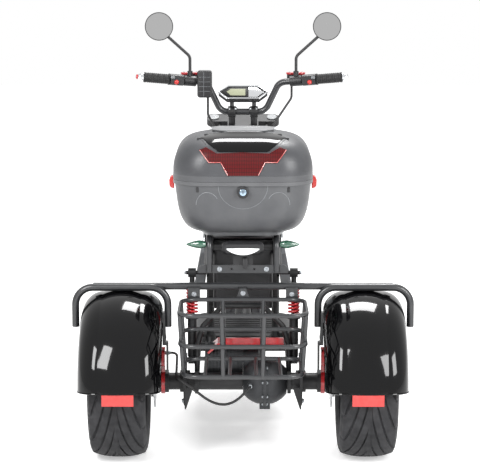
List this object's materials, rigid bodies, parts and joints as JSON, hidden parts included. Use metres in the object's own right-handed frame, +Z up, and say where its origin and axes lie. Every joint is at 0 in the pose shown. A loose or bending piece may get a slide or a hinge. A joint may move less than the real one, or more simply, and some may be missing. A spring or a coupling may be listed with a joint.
{
  "type": "electric trike",
  "caption": "Electric trike with fat rear tyres under gloss fenders, a tube basket, a lidded top box, a long saddle and high handlebars; it steers, rolls and the box opens.",
  "frame": {"origin": "on the ground under the middle of the overall length, on the vehicle's centre plane", "axes": "+Y forward to the front wheel, +Z up, +X to the rider's right"},
  "size_m": [1.026, 1.8344, 1.31],
  "materials": {
    "tyre": "matt black",
    "rim": "gloss black",
    "disc": "ground",
    "fender": "gloss black",
    "black_steel": "satin black",
    "drive": "cast, dark",
    "red_metal": "gloss red",
    "chrome": "polished",
    "steel": "satin",
    "box": "grained dark grey",
    "black_plastic": "satin black",
    "grey_plastic": "satin grey",
    "red_lens": "clear red",
    "lamp_glass": "clear",
    "smoked": "smoked",
    "seat": "grained black",
    "grip": "matt",
    "hose": "matt black",
    "mirror": "mirror",
    "screen": "grey display"
  },
  "bodies": {
    "chassis": {"frame": "black_steel", "deck": "black_plastic", "battery_case": "black_plastic", "seat": "seat", "side_covers": "grey_plastic", "rear_axle": "black_steel", "gear_case": "drive", "motor": "drive", "axle_hangers": "black_steel", "swing_arm": "black_steel", "motor_saddle": "red_metal", "shock_bodies": "black_steel", "shock_springs": "red_metal", "fender_left": "fender", "fender_right": "fender", "rear_guard": "black_steel", "rear_reflectors": "red_lens", "basket": "black_steel", "calipers": "red_metal", "tail_rack": "black_steel", "tail_lamp": "black_plastic", "tail_lens": "lamp_glass", "rear_signals": "smoked", "topbox_tub": "box", "topbox_latches": "red_lens", "topbox_lock": "black_plastic", "topbox_base": "black_plastic", "brake_hose": "hose"},
    "lid": {"topbox_lid": "box", "topbox_reflector": "red_lens"},
    "steering": {"fork_clamps": "black_steel", "fork_legs": "chrome", "fork_sliders": "black_steel", "front_axle": "steel", "front_fender": "fender", "headlamp": "black_plastic", "headlamp_lens": "lamp_glass", "handlebar": "black_steel", "grips": "grip", "bar_ends": "steel", "switch_pods": "black_plastic", "brake_masters": "black_steel", "master_caps": "red_metal", "mirrors": "black_plastic", "mirror_glass": "mirror", "dash": "black_plastic", "dash_screen": "screen", "control_box": "black_plastic", "control_cable_left": "hose", "control_cable_right": "hose"},
    "front_wheel": {"front_tyre": "tyre", "front_rim": "rim", "front_disc": "disc"},
    "rear_wheel_left": {"rear_tyre_left": "tyre", "rear_rim_left": "rim", "rear_disc_left": "disc"},
    "rear_wheel_right": {"rear_tyre_right": "tyre", "rear_rim_right": "rim", "rear_disc_right": "disc"}
  },
  "joints": [
    {"name": "steer", "type": "hinge", "parent": "chassis", "child": "steering", "pos_m": [0, 0.35521, 0.82165], "axis": [0, -0.4384, 0.8988], "range_deg": [-35, 35]},
    {"name": "front_wheel_spin", "type": "hinge", "parent": "steering", "child": "front_wheel", "pos_m": [0, 0.68925, 0.228], "axis": [1, 0, 0], "continuous": true},
    {"name": "rear_left_spin", "type": "hinge", "parent": "chassis", "child": "rear_wheel_left", "pos_m": [-0.372, -0.61075, 0.228], "axis": [1, 0, 0], "continuous": true},
    {"name": "rear_right_spin", "type": "hinge", "parent": "chassis", "child": "rear_wheel_right", "pos_m": [0.372, -0.61075, 0.228], "axis": [1, 0, 0], "continuous": true},
    {"name": "topbox_lid", "type": "hinge", "parent": "chassis", "child": "lid", "pos_m": [0, -0.34975, 0.8503], "axis": [-1, 0, 0], "range_deg": [0, 80]}
  ]
}
